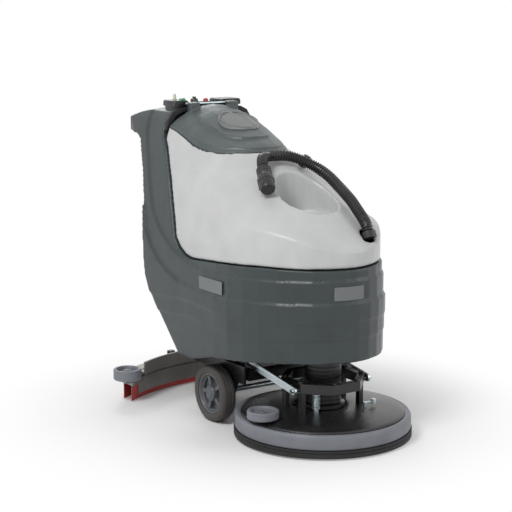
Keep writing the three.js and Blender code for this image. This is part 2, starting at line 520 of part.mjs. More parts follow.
// ---------- control console ----------
const { half: panelHalf, y0: panelY0, y1: panelY1, z0: panelZ0, lowZ: panelLowZ, topZ: panelTopZ } = CONSOLE;
const endBlock = (a, b) => alongY(polygon([[a, panelZ0], [b, panelZ0], [b, panelTopZ - 6], [b - 6, panelTopZ],
  [a + 6, panelTopZ], [a, panelTopZ - 6]]), panelY0, panelY1);
const panelSlopeTop = alongX(polygon([[panelY0 + 20, panelZ0], [panelY1 + 34, panelZ0],
  [panelY1 + 34, panelZ0 + 3], [panelY0 + 20, panelLowZ + 8]]), -54, 54);
add('control_console', cut(join(box(-panelHalf, panelHalf, panelY0, panelY1, panelZ0, panelLowZ),
  endBlock(-panelHalf, -82), endBlock(56, panelHalf), panelSlopeTop),
rod(9 + GAP, [-112, 430, panelTopZ - 12], [-112, 430, panelTopZ + 12], 16),
rod(12 + GAP, [-96, 402, panelTopZ - 14], [-96, 402, panelTopZ + 12], 16),
rod(14 + GAP, [-34, 422, panelLowZ + 2], [-34, 422, panelLowZ + 30], 16),
rod(9 + GAP, [12, 418, panelLowZ - 2], [12, 418, panelLowZ + 30], 16)), 'black');
const dial = (name, x, y, r, finish) => add(name, turned([[0, panelTopZ - 9], [r, panelTopZ - 9],
  [r, panelTopZ + 3], [r * 0.6, panelTopZ + 7], [0, panelTopZ + 8]], 16).translate(x, y, 0), finish);
dial('start_button', -96, 402, 12, 'green');
add('flow_knob', join(rod(8.5, [-112, 430, panelTopZ - 11], [-112, 430, panelTopZ + 4], 14),
  rod(6, [-112, 430, panelTopZ + 3], [-112, 430, panelTopZ + 22], 12)), 'cream');
add('key_switch', turned([[0, panelLowZ + 2 + GAP], [14, panelLowZ + 2 + GAP], [14, panelLowZ + 14],
  [9, panelLowZ + 19], [0, panelLowZ + 19]], 16).translate(-34, 422, 0), 'black');
add('stop_button', turned([[0, panelLowZ + 2], [9, panelLowZ + 2], [9, panelLowZ + 13],
  [6, panelLowZ + 17], [0, panelLowZ + 18]], 16).translate(12, 418, 0), 'red');

const sealSection = alongY(bodyFront(0), SEAL.y0, SEAL.y1);
const sealHole = alongY(bodyFront(-SEAL.depth), SEAL.y0 - 5, SEAL.y1 + 5).translate(0, 0, -SEAL.depth);
add('column_seal', cut(toSolid(sealSection), sealHole, box(-320, 320, 300, 440, 0, 966)), 'rubber');

// ---------- drive bail under the handle ----------
const BAIL = { half: 150, armX: 98, pivot: [560, 936], bar: [624, 924] };
const bailArm = (x) => rod(5, [x, ...BAIL.pivot], [x, ...BAIL.bar], 12);
add('drive_bail', join(rod(5, [-BAIL.half, ...BAIL.pivot], [BAIL.half, ...BAIL.pivot], 12),
  rod(6, [-BAIL.armX - 2, ...BAIL.bar], [BAIL.armX + 2, ...BAIL.bar], 12),
  bailArm(-BAIL.armX), bailArm(BAIL.armX)), 'black');

// ---------- level tube on the back of the column ----------
const TUBE = { x: -236, y: 396, bottomZ: 498, topZ: 628, r: 7 };
add('level_tube', rod(TUBE.r, [TUBE.x, TUBE.y, TUBE.bottomZ], [TUBE.x, TUBE.y, TUBE.topZ], 16), 'cream');
add('level_tube_clip', join(box(TUBE.x - 12, TUBE.x + 12, 385, TUBE.y + 12, TUBE.topZ + GAP, TUBE.topZ + 20),
  box(TUBE.x - 10, TUBE.x + 10, TUBE.y + 10, TUBE.y + 26, TUBE.topZ + 12, TUBE.topZ + 20),
  box(TUBE.x - 10, TUBE.x + 10, TUBE.y + 21, TUBE.y + 26, TUBE.topZ - 16, TUBE.topZ + 20)), 'black');
add('level_tube_elbow', join(rod(10, [TUBE.x, TUBE.y, TUBE.bottomZ - 22], [TUBE.x, TUBE.y, TUBE.bottomZ - GAP], 14),
  rod(8, [TUBE.x, TUBE.y, TUBE.bottomZ - 14], [TUBE.x, 370, TUBE.bottomZ - 14], 12)), 'black');

// ---------- blank plates ----------
const plateX = BODY.half + BAND_GROW[1];
add('side_plate_right', box(-plateX - 3, -plateX - GAP, -147, -5, 470, 514), 'badge');
add('side_plate_left', box(plateX + GAP, plateX + 3, -147, -5, 470, 514), 'badge');
const frontFace = toSolid(alongZ(bodyPlan(BAND_GROW[1] + 3), 488, 532, PLAN_STEPS))
  .subtract(toSolid(alongZ(bodyPlan(BAND_GROW[1] + GAP), 400, 600, PLAN_STEPS)));
add('front_plate', frontFace.intersect(toSolid(box(-82, 22, -560, -440, 400, 600))), 'badge');

// ---------- squeegee ----------
const lift = new THREE.Group();
machine.add(lift);
const armSide = box(-39, -31, 333, SWIVEL_Y + 6, LIFT.z - 12, LIFT.z + 12);
add('squeegee_arm', cut(join(armSide, mirrored(armSide),
  box(-39, 39, SWIVEL_Y - 22, SWIVEL_Y + 22, LIFT.z - 12, LIFT.z - 4),
  rod(8, [-56, LIFT.y + 20, LIFT.z], [56, LIFT.y + 20, LIFT.z], 12)),
rod(10 + GAP, [0, SWIVEL_Y, LIFT.z - 30], [0, SWIVEL_Y, LIFT.z + 30], 14)), 'black', lift);

// Strip of the squeegee between two distances behind its arcs' centre, cut off at +-halfWidth.
function arcStrip(r0, r1, halfWidth, z0, z1, segments = 16) {
  const a = Math.asin(halfWidth / r1);
  const b = Math.asin(halfWidth / r0);
  const shape = new THREE.Shape();
  shape.absarc(0, SQUEEGEE_CY, r1, Math.PI / 2 - a, Math.PI / 2 + a, false);
  shape.absarc(0, SQUEEGEE_CY, r0, Math.PI / 2 + b, Math.PI / 2 - b, true);
  return alongZ(shape, z0, z1, segments);
}
const rearR = SQUEEGEE_R;
const frontR = SQUEEGEE_R - SQUEEGEE.frontBack;
const endPost = box(-END_ROLLER.x - 14, -318, END_ROLLER.y - 14, 432, 70, 78);
const rollerPin = rod(7, [-END_ROLLER.x, END_ROLLER.y, 71], [-END_ROLLER.x, END_ROLLER.y, 119], 12);
const endPin = join(endPost, rollerPin);
const endPinG = toGeometry(endPin);
add('squeegee_body', cut(join(
  arcStrip(frontR - 4, rearR + 4, SQUEEGEE.half - 4, SQUEEGEE.bodyZ, SQUEEGEE.bodyZ + 22),
  arcStrip(frontR + 2, rearR - 6, SQUEEGEE.wallHalf, SQUEEGEE.bodyZ + 16, SQUEEGEE.bodyTopZ),
  arcStrip(frontR - 34, frontR - 26, SQUEEGEE.wallHalf, SQUEEGEE.bodyTopZ - 10, SQUEEGEE.boxTopZ),
  arcStrip(frontR - 34, frontR + 10, SQUEEGEE.wallHalf, SQUEEGEE.bodyTopZ - 10, SQUEEGEE.bodyTopZ - 2),
  endPinG, mirrored(endPinG)), box(-44, 44, 400, 450, SQUEEGEE.bodyTopZ - 1, 200)), 'plate', lift);
add('squeegee_swivel', join(rod(10, [0, SWIVEL_Y, SQUEEGEE.bodyTopZ - 1 + 18], [0, SWIVEL_Y, LIFT.z + 10], 14),
  rod(17, [0, SWIVEL_Y, SQUEEGEE.bodyTopZ + 8], [0, SWIVEL_Y, LIFT.z - 12 - GAP], 16),
  box(-34, 34, SWIVEL_Y - 24, 458, SQUEEGEE.bodyTopZ + GAP, SQUEEGEE.bodyTopZ + 9)), 'zinc', lift);
const blade = (name, r, z0) => add(name, arcStrip(r - 2, r + 2, SQUEEGEE.half, z0, SQUEEGEE.bodyZ - GAP), 'red', lift);
blade('squeegee_blade_front', frontR + 2, 3);
blade('squeegee_blade_rear', rearR - 2, 0);
const knobY = (x) => SQUEEGEE_CY + Math.sqrt((rearR - 28) ** 2 - x * x);
const wingKnob = (x) => join(rod(5, [x, knobY(x), SQUEEGEE.bodyTopZ + GAP], [x, knobY(x), 128], 10),
  rod(15, [x, knobY(x), 118], [x, knobY(x), 134], 10));
add('clamp_knob_right', wingKnob(-112), 'black', lift);
add('clamp_knob_left', wingKnob(112), 'black', lift);
add('suction_cuff', turned([[0, SQUEEGEE.bodyTopZ + GAP], [27, SQUEEGEE.bodyTopZ + GAP], [27, 120], [23, 122],
  [23, 160], [19, 160], [19, 112], [0, 112]], 20).translate(0, knobY(0) + 6, 0), 'rubber', lift);
for (const [side, name] of [[-1, 'right'], [1, 'left']]) {
  add(`squeegee_roller_${name}`, turned(rollerProfile(END_ROLLER.r, END_ROLLER.z0, END_ROLLER.z1), 20)
    .translate(side * END_ROLLER.x, END_ROLLER.y, 0), 'bumper', lift);
}

// ---------- lift lever and deck pedal ----------
const LEVER = { x: -58, pivot: [377, 560], grip: [[445, 607], [465, 621]] };
add('squeegee_lever', join(rod(6, [LEVER.x - 32, ...LEVER.pivot], [LEVER.x, ...LEVER.pivot], 12),
  rod(5, [LEVER.x, ...LEVER.pivot], [LEVER.x, ...LEVER.grip[0]], 10),
  rod(12, [LEVER.x, ...LEVER.grip[0]], [LEVER.x, ...LEVER.grip[1]], 12)), 'black');
add('deck_pedal', join(rod(8, [168, 222, 178], [196, 222, 178], 12),
  alongX(polygon([[210, 170], [222, 168], [280, 148], [332, 150], [332, 156], [282, 156], [224, 188], [212, 186]]),
    190, 196), box(172, 226, 296, 336, 150, 157)), 'zinc');

export default machine;
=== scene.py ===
import json
import math

import bmesh
import bpy
from mathutils import Matrix, Vector
from mathutils.geometry import interpolate_bezier


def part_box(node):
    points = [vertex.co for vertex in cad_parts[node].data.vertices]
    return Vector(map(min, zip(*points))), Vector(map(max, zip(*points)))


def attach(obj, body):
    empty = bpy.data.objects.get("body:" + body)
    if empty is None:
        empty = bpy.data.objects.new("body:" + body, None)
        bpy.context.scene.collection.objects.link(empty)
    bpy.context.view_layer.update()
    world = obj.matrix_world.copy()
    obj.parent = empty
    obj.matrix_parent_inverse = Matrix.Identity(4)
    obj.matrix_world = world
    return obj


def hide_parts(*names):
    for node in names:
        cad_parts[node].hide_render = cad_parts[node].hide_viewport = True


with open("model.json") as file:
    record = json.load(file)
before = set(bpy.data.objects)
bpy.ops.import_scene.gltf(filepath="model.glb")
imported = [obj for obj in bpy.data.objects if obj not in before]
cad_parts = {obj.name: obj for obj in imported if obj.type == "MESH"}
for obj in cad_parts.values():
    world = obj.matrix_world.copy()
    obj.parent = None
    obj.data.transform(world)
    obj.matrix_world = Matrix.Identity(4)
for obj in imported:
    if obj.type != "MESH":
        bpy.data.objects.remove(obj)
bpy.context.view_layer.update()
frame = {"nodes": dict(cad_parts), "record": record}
record = frame["record"]
bodyOf = {node: body for body, nodes in record["behaviour"]["bodies"].items() for node in nodes}
slotOf = {part["node"]: part["material_slot"] for part in record["subparts"]}
axleBack = 22.5  # mm from the wheel axle forward to the origin
toFrame = Matrix.Translation((0, -axleBack / 1000, 0)) @ Matrix.Scale(0.001, 4)  # mm about the axle to metres
print("frame loaded", len(frame["nodes"]), "nodes")

# materials: colour, roughness, metal, grain size per metre, grain depth, mottle, worn edge
finishes = {
    "slate": dict(colour=(0.033, 0.044, 0.046), rough=0.36, grain=950, depth=0.00012, mottle=0.14, wear=0.25),
    "silver": dict(colour=(0.57, 0.58, 0.575), rough=0.34, grain=950, depth=0.0001, mottle=0.05, wear=0.06),
    "lidGrey": dict(colour=(0.072, 0.088, 0.09), rough=0.42, grain=900, depth=0.00012, mottle=0.12, wear=0.2),
    "black": dict(colour=(0.014, 0.014, 0.015), rough=0.3, grain=1100, depth=0.00012, mottle=0.2, wear=0.3),
    "frame": dict(colour=(0.011, 0.011, 0.011), rough=0.3, grain=600, depth=0.00016, mottle=0.2, wear=0.08),
    "rubber": dict(colour=(0.011, 0.011, 0.011), rough=0.68, grain=1300, depth=0.0002, mottle=0.3, wear=0.03),
    "bumper": dict(colour=(0.185, 0.195, 0.22), rough=0.48, grain=1000, depth=0.0002, mottle=0.12, wear=0.2),
    "tyre": dict(colour=(0.062, 0.057, 0.053), rough=0.72, grain=800, depth=0.0004, mottle=0.3, wear=0.35),
    "hub": dict(colour=(0.085, 0.09, 0.098), rough=0.42, grain=900, depth=0.00015, mottle=0.15, wear=0.2),
    "red": dict(colour=(0.46, 0.03, 0.024), rough=0.4, grain=700, depth=0.00015, mottle=0.15, wear=0.1),
    "zinc": dict(colour=(0.5, 0.57, 0.6), rough=0.3, metal=1.0, grain=500, depth=0.0001, mottle=0.18, wear=0.1,
                 stretch=14),
    "plate": dict(colour=(0.21, 0.2, 0.185), rough=0.42, metal=0.7, grain=700, depth=0.0002, mottle=0.15, wear=0.2),
    "cream": dict(colour=(0.72, 0.69, 0.58), rough=0.25, grain=600, depth=0.00006, mottle=0.06, wear=0.0),
    "green": dict(colour=(0.03, 0.27, 0.1), rough=0.22, grain=500, depth=0.00005, mottle=0.06, wear=0.0),
    "badge": dict(colour=(0.16, 0.17, 0.17), rough=0.36, metal=0.3, grain=1400, depth=0.00006, mottle=0.06,
                  wear=0.15),
    "bristle": dict(colour=(0.02, 0.022, 0.025), rough=0.65, grain=500, depth=0.0014, mottle=0.5, wear=0.0,
                    stretch=0.06),
    "battery": dict(colour=(0.016, 0.016, 0.017), rough=0.5, grain=900, depth=0.0002, mottle=0.2, wear=0.15),
    "motorCase": dict(colour=(0.014, 0.014, 0.015), rough=0.34, grain=700, depth=0.0002, mottle=0.2, wear=0.2),
}


def finishMaterial(name, look):
    material = bpy.data.materials.new(name)
    material.use_nodes = True
    nodes, links = material.node_tree.nodes, material.node_tree.links
    shader = nodes["Principled BSDF"]
    shader.inputs["Metallic"].default_value = look.get("metal", 0.0)
    coords = nodes.new("ShaderNodeTexCoord")
    place = nodes.new("ShaderNodeMapping")
    place.inputs["Scale"].default_value = (1, 1, look.get("stretch", 1))
    links.new(coords.outputs["Object"], place.inputs["Vector"])

    mottle = nodes.new("ShaderNodeTexNoise")  # slow change of colour over a moulding
    mottle.inputs["Scale"].default_value = 11
    mottle.inputs["Detail"].default_value = 6
    links.new(coords.outputs["Object"], mottle.inputs["Vector"])
    tone = nodes.new("ShaderNodeValToRGB")
    low, high = 1 - look["mottle"], 1 + look["mottle"]
    tone.color_ramp.elements[0].position, tone.color_ramp.elements[1].position = 0.3, 0.7
    tone.color_ramp.elements[0].color = (*[c * low for c in look["colour"]], 1)
    tone.color_ramp.elements[1].color = (*[min(c * high, 1) for c in look["colour"]], 1)
    links.new(mottle.outputs["Fac"], tone.inputs["Fac"])

    edge = nodes.new("ShaderNodeNewGeometry")  # rubbed edges are a little paler
    rubbed = nodes.new("ShaderNodeMapRange")
    rubbed.inputs["From Min"].default_value, rubbed.inputs["From Max"].default_value = 0.52, 0.62
    rubbed.inputs["To Max"].default_value = look["wear"]
    worn = nodes.new("ShaderNodeMix")
    worn.data_type = "RGBA"
    worn.inputs["B"].default_value = (*[min(c * 1.8 + 0.03, 1) for c in look["colour"]], 1)
    links.new(edge.outputs["Pointiness"], rubbed.inputs["Value"])
    links.new(rubbed.outputs["Result"], worn.inputs["Factor"])
    links.new(tone.outputs["Color"], worn.inputs["A"])
    links.new(worn.outputs["Result"], shader.inputs["Base Color"])

    smear = nodes.new("ShaderNodeTexNoise")  # handled patches shine more
    smear.inputs["Scale"].default_value = 34
    smear.inputs["Detail"].default_value = 4
    links.new(place.outputs["Vector"], smear.inputs["Vector"])
    gloss = nodes.new("ShaderNodeMapRange")
    gloss.inputs["To Min"].default_value = max(look["rough"] - 0.09, 0.05)
    gloss.inputs["To Max"].default_value = look["rough"] + 0.09
    links.new(smear.outputs["Fac"], gloss.inputs["Value"])
    links.new(gloss.outputs["Result"], shader.inputs["Roughness"])

    grain = nodes.new("ShaderNodeTexNoise")
    grain.inputs["Scale"].default_value = look["grain"]
    grain.inputs["Detail"].default_value = 3
    links.new(place.outputs["Vector"], grain.inputs["Vector"])
    bump = nodes.new("ShaderNodeBump")
    bump.inputs["Strength"].default_value = 0.5
    bump.inputs["Distance"].default_value = look["depth"]
    links.new(grain.outputs["Fac"], bump.inputs["Height"])
    links.new(bump.outputs["Normal"], shader.inputs["Normal"])
    if name == "cream":
        shader.inputs["Subsurface Weight"].default_value = 0.25
        shader.inputs["Subsurface Radius"].default_value = (0.006, 0.005, 0.003)
    return material


materials = {name: finishMaterial(name, look) for name, look in finishes.items()}
for node, cad in frame["nodes"].items():
    cad.data.materials.clear()
    cad.data.materials.append(materials[slotOf[node]])
print("materials made", len(materials))


# modelling helpers, in mm about the wheel axle
def spun(profile, steps=72, at=(0, 0, 0), along=(0, 0, 1)):
    bm = bmesh.new()
    verts = [bm.verts.new((r, 0, z)) for r, z in profile]
    edges = [bm.edges.new(pair) for pair in zip(verts, verts[1:])]
    if profile[0][0] > 0:
        edges.append(bm.edges.new((verts[-1], verts[0])))  # a ring closes on itself
    bmesh.ops.spin(bm, geom=verts + edges, cent=(0, 0, 0), axis=(0, 0, 1), angle=2 * math.pi, steps=steps,
                   use_merge=True)
    bmesh.ops.remove_doubles(bm, verts=bm.verts, dist=0.001)
    bmesh.ops.recalc_face_normals(bm, faces=bm.faces)
    turn = Vector((0, 0, 1)).rotation_difference(Vector(along)).to_matrix().to_4x4()
    bmesh.ops.transform(bm, matrix=Matrix.Translation(at) @ turn, verts=bm.verts)
    return bm


def block(x0, x1, y0, y1, z0, z1):
    bm = bmesh.new()
    bmesh.ops.create_cube(bm, size=1)
    bmesh.ops.scale(bm, vec=(x1 - x0, y1 - y0, z1 - z0), verts=bm.verts)
    bmesh.ops.translate(bm, vec=((x0 + x1) / 2, (y0 + y1) / 2, (z0 + z1) / 2), verts=bm.verts)
    return bm


def bar(start, end, radius, sides=24):
    start, end = Vector(start), Vector(end)
    bm = bmesh.new()
    bmesh.ops.create_cone(bm, cap_ends=True, segments=sides, radius1=radius, radius2=radius,
                          depth=(end - start).length)
    turn = Vector((0, 0, 1)).rotation_difference(end - start).to_matrix().to_4x4()
    bmesh.ops.transform(bm, matrix=Matrix.Translation((start + end) / 2) @ turn, verts=bm.verts)
    return bm


def hexBolt(at, along=(0, 0, 1), size=7):
    at, along = Vector(at), Vector(along).normalized()
    washer = bar(at, at + along * 1.4, size * 1.25, 28)
    head = bar(at + along * 1.4, at + along * (1.4 + size * 0.75), size, 6)
    return gather(washer, head)


def gather(*parts):
    whole = bmesh.new()
    for part in parts:
        held = bpy.data.meshes.new("held")
        part.to_mesh(held)
        part.free()
        whole.from_mesh(held)
        bpy.data.meshes.remove(held)
    return whole


def turned(bm, matrix):
    bmesh.ops.transform(bm, matrix=matrix, verts=bm.verts)
    return bm


# turns a finished bmesh into a piece that rides with the CAD node's body
def publish(name, bm, node, bevel=1.0, stands=True):
    bmesh.ops.transform(bm, matrix=toFrame, verts=bm.verts)
    mesh = bpy.data.meshes.new(name)
    bm.to_mesh(mesh)
    bm.free()
    mesh.shade_smooth()
    mesh.set_sharp_from_angle(angle=math.radians(34))
    piece = bpy.data.objects.new(name, mesh)
    bpy.context.scene.collection.objects.link(piece)
    mesh.materials.append(materials[slotOf[node]])
    if bevel:
        edges = piece.modifiers.new("edges", "BEVEL")
        edges.width, edges.segments, edges.limit_method = bevel * 0.001, 2, "ANGLE"
        edges.angle_limit, edges.harden_normals = math.radians(34), True
    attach(piece, bodyOf[node])
    if stands:
        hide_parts(node)
    return piece


def spunPiece(node, profile, steps, at, bevel, along=(0, 0, 1), extras=()):
    shape = spun(profile, steps, at, along)
    publish(node + "_made", gather(shape, *extras) if extras else shape, node, bevel)


def mergedCopy(node):
    bm = bmesh.new()
    bm.from_mesh(frame["nodes"][node].data)
    bmesh.ops.remove_doubles(bm, verts=bm.verts, dist=0.00002)
    return bm


def refined(node, bevel=1.0, *extras):
    bm = mergedCopy(node)  # already in metres, so it goes back to mm first
    bmesh.ops.transform(bm, matrix=toFrame.inverted(), verts=bm.verts)
    bmesh.ops.dissolve_limit(bm, angle_limit=math.radians(1), verts=bm.verts, edges=bm.edges)
    return publish(node + "_made", gather(bm, *extras), node, bevel)


def moulding(node, voxel, rounds, keep, plug=None, mouth=None):
    bm = mergedCopy(node)
    if plug:  # a closed cavity is filled by the remesh, so thin walls can't tear
        bmesh.ops.transform(plug, matrix=toFrame, verts=plug.verts)
        bm = gather(bm, plug)
    mesh = bpy.data.meshes.new(node + "_shell")
    bm.to_mesh(mesh)
    bm.free()
    piece = bpy.data.objects.new(node + "_shell", mesh)
    bpy.context.scene.collection.objects.link(piece)
    cells = piece.modifiers.new("cells", "REMESH")
    cells.mode, cells.voxel_size, cells.adaptivity = "VOXEL", voxel, 0
    soft = piece.modifiers.new("soft", "SMOOTH")
    soft.factor, soft.iterations = 0.5, rounds
    if keep < 1:
        fewer = piece.modifiers.new("fewer", "DECIMATE")
        fewer.ratio = keep
    if mouth:  # and its opening is cut again afterwards
        bmesh.ops.transform(mouth, matrix=toFrame, verts=mouth.verts)
        cutMesh = bpy.data.meshes.new("mouthCut")
        mouth.to_mesh(cutMesh)
        mouth.free()
        cutter = bpy.data.objects.new("mouthCut", cutMesh)
        bpy.context.scene.collection.objects.link(cutter)
        opening = piece.modifiers.new("opening", "BOOLEAN")
        opening.operation, opening.object, opening.solver = "DIFFERENCE", cutter, "EXACT"
    made = bpy.data.meshes.new_from_object(piece.evaluated_get(bpy.context.evaluated_depsgraph_get()))
    if mouth:
        bpy.data.objects.remove(cutter)
    piece.modifiers.clear()
    piece.data = made
    made.name = node + "_shell"
    made.shade_smooth()
    made.materials.clear()
    made.materials.append(materials[slotOf[node]])
    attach(piece, bodyOf[node])
    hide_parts(node)
    print(node, "moulding", len(made.polygons), "faces")
    return piece


# camera
shot = dict(lens=99.69, sensor=36, at=(-2.7206, -4.0012, 1.4232), down=10.257, turn=-33.89)
cameraData = bpy.data.cameras.new("camera")
cameraData.lens, cameraData.sensor_width = shot["lens"], shot["sensor"]
camera = bpy.data.objects.new("camera", cameraData)
bpy.context.scene.collection.objects.link(camera)
camera.location = shot["at"]
camera.rotation_euler = (math.radians(90 - shot["down"]), 0, math.radians(shot["turn"]))
bpy.context.scene.camera = camera

# the three big mouldings
def sightRays(nodes, links):
    path = nodes.new("ShaderNodeLightPath")
    best = path.outputs["Is Camera Ray"]
    for name in ("Is Glossy Ray", "Is Transmission Ray"):
        larger = nodes.new("ShaderNodeMath")
        larger.operation = "MAXIMUM"
        links.new(best, larger.inputs[0])
        links.new(path.outputs[name], larger.inputs[1])
        best = larger.outputs["Value"]
    return best


def prism(outline, half):
    bm = bmesh.new()  # a side view outline (y, z) drawn out across the machine
    face = bm.faces.new([bm.verts.new((-half, y, z)) for y, z in outline])
    pulled = bmesh.ops.extrude_face_region(bm, geom=[face])["geom"]
    bmesh.ops.translate(bm, vec=(2 * half, 0, 0), verts=[g for g in pulled if isinstance(g, bmesh.types.BMVert)])
    bmesh.ops.recalc_face_normals(bm, faces=bm.faces)
    return bm


# voxel size in m, smoothing rounds, share of faces kept
tanks = {"solution_tank": (0.0044, 3, 0.52), "recovery_tank": (0.0044, 22, 1), "lid": (0.0026, 4, 0.8)}
fillerPlug = bar((225, -90, 545), (225, -90, 572), 28)
mouthPlug = prism([(20, 830), (200, 918), (352, 985), (352, 1012), (200, 948), (20, 862)], 150)
mouthCut = prism([(100, 650), (140, 650), (205, 735), (325, 915), (345, 1100), (100, 1100)], 118)
moulding("solution_tank", *tanks["solution_tank"], plug=fillerPlug)
moulding("recovery_tank", *tanks["recovery_tank"], plug=mouthPlug, mouth=mouthCut)
moulding("lid", *tanks["lid"])

# drain hose
hose = dict(radius=19, pitch=7.6, valley=0.82, sides=24)
hoseRoute = [(-112, -138, 876), (-106, -124, 890), (-86, -98, 904), (-56, -84, 908), (-21, -84, 908), (15, -90, 906),
             (48, -106, 896), (78, -130, 880), (100, -160, 862), (112, -200, 840), (116, -244, 814), (112, -296, 789),
             (106, -335, 771), (99, -376, 747), (95, -410, 724), (92, -431, 706), (91, -440, 687.5)]


def hoseLine(step):
    points = [Vector(p) for p in hoseRoute]
    dense = []
    for i in range(len(points) - 1):
        before, after = points[max(i - 1, 0)], points[min(i + 2, len(points) - 1)]
        a, b = points[i], points[i + 1]
        dense += interpolate_bezier(a, a + (b - before) / 6, b - (after - a) / 6, b, 40)[:-1]
    dense.append(points[-1])
    line, gone = [dense[0]], 0.0
    for a, b in zip(dense, dense[1:]):
        gone += (b - a).length
        if gone >= step:
            line.append(b)
            gone = 0.0
    return line


line = hoseLine(hose["pitch"] / 4)
curveData = bpy.data.curves.new("drain_hose_ribbed", "CURVE")
curveData.dimensions, curveData.use_fill_caps = "3D", True
curveData.bevel_depth, curveData.bevel_resolution = hose["radius"] * 0.001, hose["sides"] // 4
spline = curveData.splines.new("POLY")
spline.points.add(len(line) - 1)
for i, (point, spot) in enumerate(zip(spline.points, line)):
    point.co = (*(toFrame @ spot), 1)
    point.radius = 1 if i % 4 < 2 else hose["valley"]
hoseCurve = bpy.data.objects.new("hoseCurve", curveData)
bpy.context.scene.collection.objects.link(hoseCurve)
hoseMesh = bpy.data.meshes.new_from_object(hoseCurve.evaluated_get(bpy.context.evaluated_depsgraph_get()))
bpy.data.objects.remove(hoseCurve)
hoseBm = bmesh.new()
hoseBm.from_mesh(hoseMesh)
bmesh.ops.remove_doubles(hoseBm, verts=hoseBm.verts, dist=0.00001)
bmesh.ops.recalc_face_normals(hoseBm, faces=hoseBm.faces)
publish("drain_hose_ribbed", turned(hoseBm, toFrame.inverted()), "drain_hose", 0)

capAxis = Vector((-31, -70, -52)).normalized()
capStart = Vector(hoseRoute[0])
capProfile = [(0, 5), (22, 5), (25, 8), (25, 14), (23, 15), (23, 19), (25, 20), (25, 26), (23, 27), (23, 31), (25, 32),
              (25, 38), (23.5, 40), (26, 44), (26, 60), (28.5, 62), (28.5, 70), (26, 72), (26, 98), (23, 106), (0, 108)]
side = capAxis.cross(Vector((0, 0, 1))).normalized()
strapParts = []
for turn in (-0.9, 0.35):
    out = (Matrix.Rotation(turn, 3, capAxis) @ side) * 24.6
    strapParts.append(bar(capStart + capAxis * 46 + out, capStart + capAxis * 96 + out, 4.2, 10))
publish("drain_hose_cap_made", gather(spun(capProfile, 48, capStart, capAxis), *strapParts), "drain_hose_cap", 0.8)
outletTop, outletEnd = Vector((91, -440.5, 686.6)), Vector((91, -450.3, 667))
publish("drain_hose_outlet_made", bar(outletTop, outletEnd, 24, 40), "drain_hose_outlet", 1.5)
refined("hose_clip", 0.6)
print("hose made")

# drive wheels and caster
wheel = dict(r=97.6, half=26.5, x=217.5, bead=71, bore=10.4, tyreSteps=96, tyreBevel=0.8, hubBevel=1.2)
spoke = dict(count=5, inner=22, outer=60, half=6.5, back=-2, sunk=12)  # sunk below the hub's outer face
casterWheel = dict(steps=64, at=(0, 278, 38), along=(1, 0, 0), bevel=0.8,
                   profile=[(6.4, -14), (14, -15), (30, -15), (34, -14), (38, -8), (38, 8), (34, 14), (30, 15),
                            (14, 15), (6.4, 14)])


def tyreProfile(r, h, bead):
    return [(bead, -h + 1), (76, -h), (88, -h), (94, -h + 3), (r, -h + 9), (r, -9), (r - 2, -8), (r - 2, -6), (r, -5),
            (r, 5), (r - 2, 6), (r - 2, 8), (r, 9), (r, h - 9), (94, h - 3), (88, h), (76, h), (bead, h - 3)]


for sign, name in ((-1, "right"), (1, "left")):
    centre, outward = (sign * wheel["x"], 0, wheel["r"]), (sign, 0, 0)
    h, bore = wheel["half"], wheel["bore"]
    tyre = spun(tyreProfile(wheel["r"], h, wheel["bead"]), wheel["tyreSteps"], centre, outward)
    publish("wheel_tyre_%s_made" % name, tyre, "wheel_tyre_" + name, wheel["tyreBevel"])
    rimProfile = [(56, -h + 3), (70.5, -h + 3), (70.5, h - 5), (66, h - 4), (62, h - 8), (60, h - 14), (56, h - 16)]
    rim = spun(rimProfile, 80, centre, outward)
    web = spun([(bore, -4), (57, -4), (57, 1), (bore, 1)], 64, centre, outward)
    boss = spun([(bore, -h + 3), (27, -h + 3), (27, h - 8), (24, h - 4), (bore, h - 4)], 48, centre, outward)
    hubCap = spun([(0, h - 5), (19, h - 5), (19, h - 3), (15, h - 0.6), (0, h)], 40, centre, outward)
    stand = Vector((0, 0, 1)).rotation_difference(Vector(outward)).to_matrix().to_4x4()
    spokes = []
    for i in range(spoke["count"]):
        arm = block(spoke["inner"], spoke["outer"], -spoke["half"], spoke["half"], spoke["back"], h - spoke["sunk"])
        turn = Matrix.Rotation(math.radians(90 + i * 360 / spoke["count"]), 4, "Z")
        spokes.append(turned(arm, Matrix.Translation(centre) @ stand @ turn))
    publish("wheel_hub_%s_made" % name, gather(rim, web, boss, hubCap, *spokes), "wheel_hub_" + name, wheel["hubBevel"])
refined("caster_fork", 0.8)
spunPiece("caster_wheel", **casterWheel)
print("wheels made")

# brush deck
deckAt = (0, -326, 0)
deckCover = dict(steps=128, at=deckAt, bevel=0.6,
                 profile=[(13.5, 96), (70, 96), (78, 100), (110, 100), (150, 98), (200, 95), (240, 90.5), (262, 86.5),
                          (269, 84.5), (272, 81), (272, 62), (267, 62), (267, 79), (262, 82), (200, 90), (150, 93),
                          (66, 93), (66, 91), (13.5, 91)])
deckBumper = dict(steps=160, at=deckAt, bevel=0.8,
                  profile=[(272.4, 31), (287, 31), (291, 33), (293, 37), (293, 66), (292, 73), (288, 79), (283, 81),
                           (277, 80), (272.4, 78)])
deckSkirt = dict(steps=160, at=deckAt, bevel=0.8,
                 profile=[(278, 6), (296, 6), (296, 20), (293.5, 21), (293.5, 23), (296, 24), (296, 30.6), (278, 30.6)])
bracket = dict(bevel=1.4, boltZ=200, boltSize=8,
               bolts=[(-124, -46), (-124, 46), (124, -46), (124, 46), (-46, -124), (46, -124)])
brushMotor = dict(steps=72, at=deckAt, bevel=0.5, profile=[(0, 100.6), (73, 100.6), (73, 112), (66, 114), (61, 118)])
